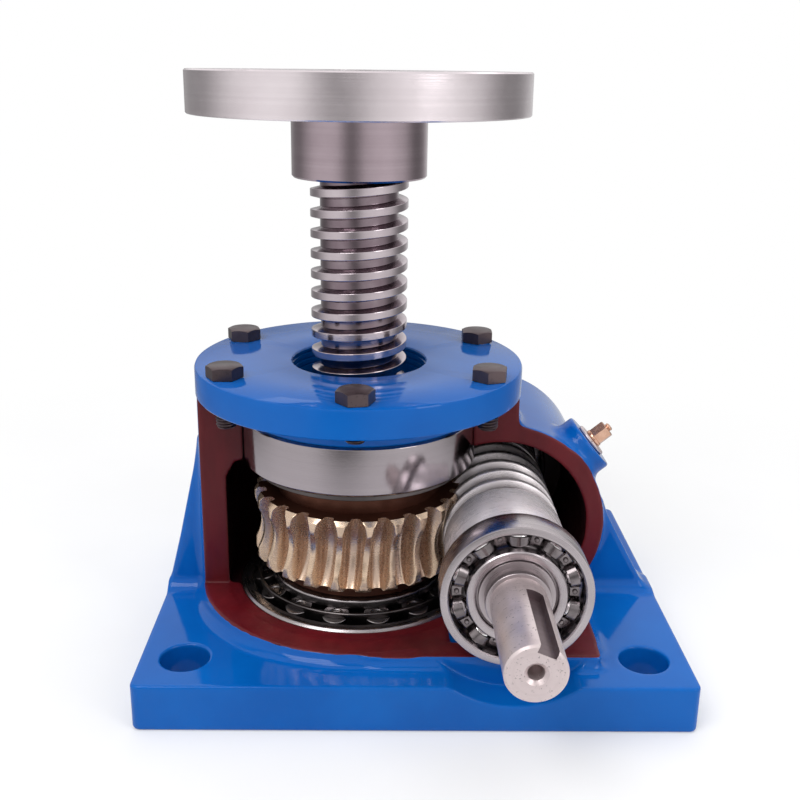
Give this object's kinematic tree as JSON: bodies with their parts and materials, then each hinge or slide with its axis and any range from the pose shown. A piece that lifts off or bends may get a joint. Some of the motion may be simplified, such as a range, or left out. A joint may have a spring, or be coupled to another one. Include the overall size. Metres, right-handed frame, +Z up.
{
  "type": "worm screw jack",
  "caption": "Cutaway worm screw jack: a worm shaft turns a bronze wheel whose inner thread lifts a trapezoidal screw with a round top plate above a ribbed four-hole base.",
  "frame": {"origin": "point where the lift screw's axis meets the underside of the base", "axes": "+Z up along the lift screw, +X from the screw towards the worm, +Y along the worm shaft away from the cutaway side"},
  "size_m": [0.316, 0.37, 0.351],
  "materials": {
    "housing_enamel": "glossy blue enamel over cast iron",
    "cut_face_paint": "dark red paint on the sectioned faces and inside the casing",
    "machined_steel": "turned",
    "bright_steel": "ground",
    "dark_bearing_steel": "oiled, dark",
    "blackened_steel": "blackened",
    "bronze": "machined gear bronze",
    "nipple_brass": "bright",
    "seal_rubber": "matte"
  },
  "bodies": {
    "frame": {"housing": "housing_enamel", "top_cover": "housing_enamel", "cover_bolts": "blackened_steel", "lower_cup": "dark_bearing_steel", "upper_cup": "bright_steel", "front_outer_ring": "bright_steel", "rear_outer_ring": "bright_steel", "rear_end_cover": "housing_enamel", "rear_cover_screws": "blackened_steel", "rear_shaft_seal": "seal_rubber", "grease_nipple": "nipple_brass", "nipple_washer": "machined_steel"},
    "wheel": {"worm_wheel": "bronze", "lower_cone": "dark_bearing_steel", "upper_cone": "dark_bearing_steel"},
    "worm": {"worm_shaft": "machined_steel", "front_sleeve": "bright_steel", "rear_sleeve": "bright_steel", "front_inner_ring": "bright_steel", "rear_inner_ring": "bright_steel"},
    "lift": {"lift_screw": "machined_steel", "head_plate": "machined_steel", "plate_set_screw": "blackened_steel"},
    "lower_roller_set": {"lower_rollers": "bright_steel", "lower_cage": "dark_bearing_steel"},
    "upper_roller_set": {"upper_rollers": "bright_steel", "upper_cage": "dark_bearing_steel"},
    "front_ball_set": {"front_balls": "bright_steel", "front_cage": "dark_bearing_steel"},
    "rear_ball_set": {"rear_balls": "bright_steel", "rear_cage": "dark_bearing_steel"}
  },
  "joints": [
    {"name": "worm_spin", "type": "hinge", "parent": "frame", "child": "worm", "pos_m": [0.089, 0, 0.0775], "axis": [0, 1, 0], "range_deg": [-75600, 21600]},
    {"name": "wheel_spin", "type": "hinge", "parent": "frame", "child": "wheel", "pos_m": [0, 0, 0.0775], "axis": [0, 0, 1], "range_deg": [-908, 3158]},
    {"name": "screw_lift", "type": "slide", "parent": "frame", "child": "lift", "axis": [0, 0, 1], "range_m": [-0.1055, 0.0304]},
    {"name": "lower_rollers_spin", "type": "hinge", "parent": "frame", "child": "lower_roller_set", "pos_m": [0, 0, 0.025], "axis": [0, 0, 1], "range_deg": [-394.7, 1369]},
    {"name": "upper_rollers_spin", "type": "hinge", "parent": "frame", "child": "upper_roller_set", "pos_m": [0, 0, 0.13], "axis": [0, 0, 1], "range_deg": [-394.7, 1369]},
    {"name": "front_balls_spin", "type": "hinge", "parent": "frame", "child": "front_ball_set", "pos_m": [0.089, -0.1019, 0.0775], "axis": [0, 1, 0], "range_deg": [-30519.6, 8762.8]},
    {"name": "rear_balls_spin", "type": "hinge", "parent": "frame", "child": "rear_ball_set", "pos_m": [0.089, 0.1019, 0.0775], "axis": [0, 1, 0], "range_deg": [-30519.6, 8762.8]}
  ],
  "couplings": [
    {"joint": "wheel_spin", "follows": "worm_spin", "ratio": -0.041667},
    {"joint": "screw_lift", "follows": "worm_spin", "m_per_rad": 0.000079577},
    {"joint": "lower_rollers_spin", "follows": "worm_spin", "ratio": -0.018042},
    {"joint": "upper_rollers_spin", "follows": "worm_spin", "ratio": -0.018042},
    {"joint": "front_balls_spin", "follows": "worm_spin", "ratio": 0.40291},
    {"joint": "rear_balls_spin", "follows": "worm_spin", "ratio": 0.40291}
  ]
}
